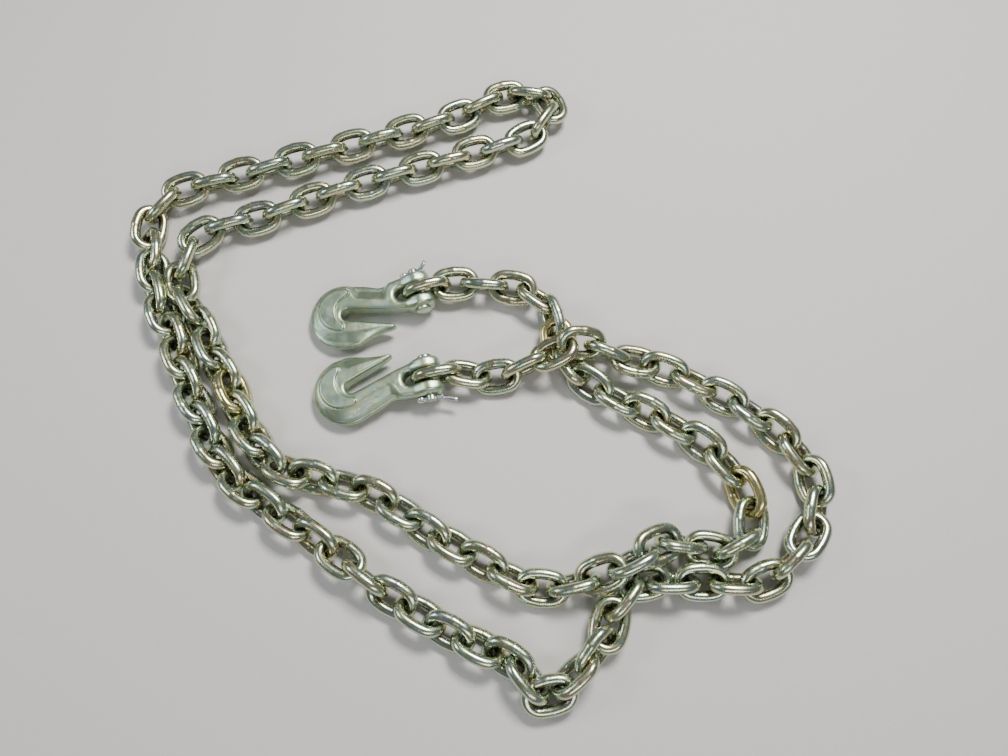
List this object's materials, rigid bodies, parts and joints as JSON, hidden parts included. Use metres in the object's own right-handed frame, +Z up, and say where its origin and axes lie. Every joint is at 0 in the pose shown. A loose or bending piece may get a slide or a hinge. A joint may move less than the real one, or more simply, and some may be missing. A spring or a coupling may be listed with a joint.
{
  "type": "heap of steel chain",
  "caption": "Length of welded steel chain in loose folds on a flat surface, with a clevis grab hook pinned to each end, for tying down and binding loads.",
  "frame": {"origin": "middle of the footprint of the chain as it lies, on the floor", "axes": "+Z up from the floor; +X to the right and +Y away from the side that the picture looks from"},
  "size_m": [0.5846, 0.5534, 0.041],
  "materials": {
    "chain_coat": "yellow chromate plating, glossy olive green and gold with pink and blue-green tints",
    "golden_coat": "yellow chromate plating, glossy, more golden than the rest",
    "hook_coat": "forged surface under satin greenish plating",
    "pin_coat": "satin greenish plating",
    "cotter_coat": "bright zinc"
  },
  "bodies": {
    "chain": {"clevis_pin_a": "pin_coat", "clevis_pin_b": "pin_coat", "cotter_a": "cotter_coat", "cotter_b": "cotter_coat", "link_003": "chain_coat", "link_010": "chain_coat", "link_023": "chain_coat", "link_029": "chain_coat", "link_047": "chain_coat", "link_053": "chain_coat", "link_063": "chain_coat", "link_069": "chain_coat", "link_085": "chain_coat", "link_086": "chain_coat", "link_093": "chain_coat", "link_103": "chain_coat", "link_104": "chain_coat", "link_111": "chain_coat", "link_112": "chain_coat", "links_000_002": "chain_coat", "links_004_006": "golden_coat", "links_007_009": "chain_coat", "links_011_013": "chain_coat", "links_014_016": "golden_coat", "links_017_019": "chain_coat", "links_020_022": "chain_coat", "links_024_026": "chain_coat", "links_027_028": "chain_coat", "links_030_032": "chain_coat", "links_033_035": "chain_coat", "links_036_038": "golden_coat", "links_039_041": "chain_coat", "links_042_044": "chain_coat", "links_045_046": "chain_coat", "links_048_050": "chain_coat", "links_051_052": "chain_coat", "links_054_056": "chain_coat", "links_057_059": "chain_coat", "links_060_062": "chain_coat", "links_064_066": "chain_coat", "links_067_068": "chain_coat", "links_070_072": "chain_coat", "links_073_075": "chain_coat", "links_076_078": "chain_coat", "links_079_081": "chain_coat", "links_082_084": "chain_coat", "links_087_089": "chain_coat", "links_090_092": "chain_coat", "links_094_096": "chain_coat", "links_097_099": "chain_coat", "links_100_102": "chain_coat", "links_105_107": "chain_coat", "links_108_110": "chain_coat", "links_113_115": "chain_coat", "links_116_118": "chain_coat", "links_119_121": "chain_coat", "links_122_124": "chain_coat"},
    "hook_a": {"hook_a": "hook_coat"},
    "hook_b": {"hook_b": "hook_coat"}
  },
  "joints": [
    {"name": "hook_a_on_pin", "type": "hinge", "parent": "chain", "child": "hook_a", "pos_m": [-0.03809, 0.05839, 0.01485], "axis": [-0.2924, 0.9563, 0], "range_deg": [0, 85]},
    {"name": "hook_b_on_pin", "type": "hinge", "parent": "chain", "child": "hook_b", "pos_m": [-0.02769, -0.01851, 0.01485], "axis": [-0.1994, 0.9799, 0], "range_deg": [0, 85]}
  ]
}
